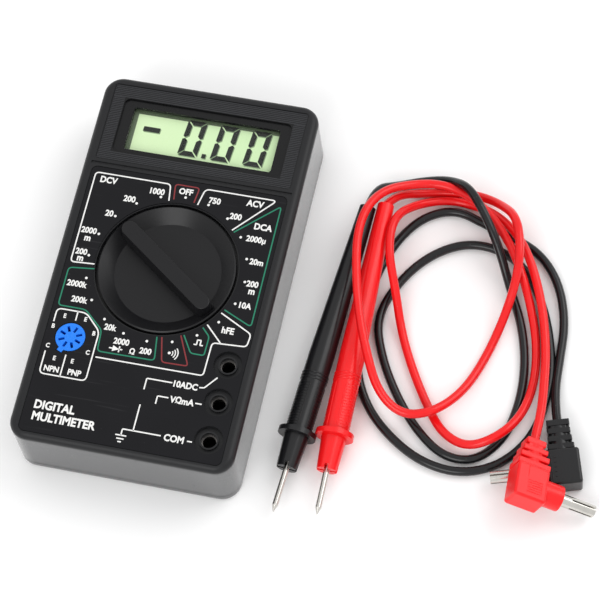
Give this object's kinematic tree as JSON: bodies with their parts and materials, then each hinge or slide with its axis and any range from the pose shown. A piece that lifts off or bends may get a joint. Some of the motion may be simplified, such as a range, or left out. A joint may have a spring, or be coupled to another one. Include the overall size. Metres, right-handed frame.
{
  "type": "digital multimeter",
  "caption": "Handheld digital multimeter: display window, rotary range dial, transistor socket and input jacks in a screwed case, with its test leads, probes and right-angle plugs.",
  "frame": {"origin": "centre of the meter's flat back face, which lies on the table", "axes": "+X across the meter towards the input jacks, +Y up the face towards the display, +Z out of the face"},
  "size_m": [0.1771, 0.1285, 0.027],
  "materials": {
    "case_plastic": "satin moulded charcoal ABS with a fine texture",
    "label_film": "smooth near-black printed film",
    "knob_plastic": "satin black moulded plastic",
    "clear_plastic": "clear moulded acrylic",
    "lcd_glass": "pale green reflective liquid crystal glass",
    "holder_plastic": "matt black moulding",
    "elastomer": "striped conductive elastomer",
    "socket_plastic": "satin blue moulded plastic",
    "nickel": "bright nickel plate, lightly scuffed",
    "steel": "zinc-plated steel",
    "copper": "bare copper alloy",
    "board_laminate": "green solder mask on fibre laminate",
    "resin": "black potting resin",
    "component_body": "painted component bodies",
    "buzzer_body": "black moulded shell",
    "trimmer_body": "blue moulded body",
    "fuse_glass": "clear glass tube with metal caps",
    "battery_shell": "lacquered metal jacket",
    "wire_red": "thin red insulation",
    "wire_black": "thin black insulation",
    "lead_red": "glossy flexible red PVC",
    "lead_black": "glossy flexible black PVC",
    "grip_red": "satin to glossy moulded red plastic",
    "grip_black": "satin to glossy moulded black plastic"
  },
  "bodies": {
    "meter": {"front_case": "case_plastic", "rear_case": "case_plastic", "face_label": "label_film", "window_lens": "clear_plastic", "lcd_panel": "lcd_glass", "lcd_holder": "holder_plastic", "zebra_strips": "elastomer", "jack_socket_upper": "nickel", "jack_socket_middle": "nickel", "jack_socket_lower": "nickel", "transistor_socket": "socket_plastic", "transistor_contacts": "nickel", "circuit_board": "board_laminate", "chip_blob": "resin", "fuse": "fuse_glass", "fuse_clips": "nickel", "buzzer": "buzzer_body", "trimmer": "trimmer_body", "resistors": "component_body", "capacitors": "component_body", "shunt_wire": "copper", "battery": "battery_shell", "battery_snap": "holder_plastic", "battery_wire_red": "wire_red", "battery_wire_black": "wire_black", "case_screws": "steel", "board_screws": "steel"},
    "dial": {"dial_knob": "knob_plastic", "wiper_contacts": "copper", "detent_spring_left": "steel", "detent_spring_right": "steel"},
    "ball_left": {"detent_ball_left": "steel"},
    "ball_right": {"detent_ball_right": "steel"},
    "test_leads": {"black_cable": "lead_black", "black_probe_handle": "grip_black", "black_probe_tip": "nickel", "black_plug": "grip_black", "black_plug_pin": "nickel", "red_cable": "lead_red", "red_probe_handle": "grip_red", "red_probe_tip": "nickel", "red_plug": "grip_red", "red_plug_pin": "nickel"}
  },
  "joints": [
    {"name": "dial_turn", "type": "hinge", "parent": "meter", "child": "dial", "pos_m": [0, -0.0005, 0.015], "axis": [0, 0, 1], "continuous": true},
    {"name": "ball_left_slide", "type": "slide", "parent": "dial", "child": "ball_left", "axis": [-1, 0, 0], "range_m": [0, 0.0004], "stiffness_N_per_m": 300, "springref_m": 0.001},
    {"name": "ball_right_slide", "type": "slide", "parent": "dial", "child": "ball_right", "axis": [1, 0, 0], "range_m": [0, 0.0004], "stiffness_N_per_m": 300, "springref_m": 0.001},
    {"name": "leads_lift", "type": "slide", "parent": "meter", "child": "test_leads", "axis": [0, 0, 1], "range_m": [0, 0.1]}
  ]
}
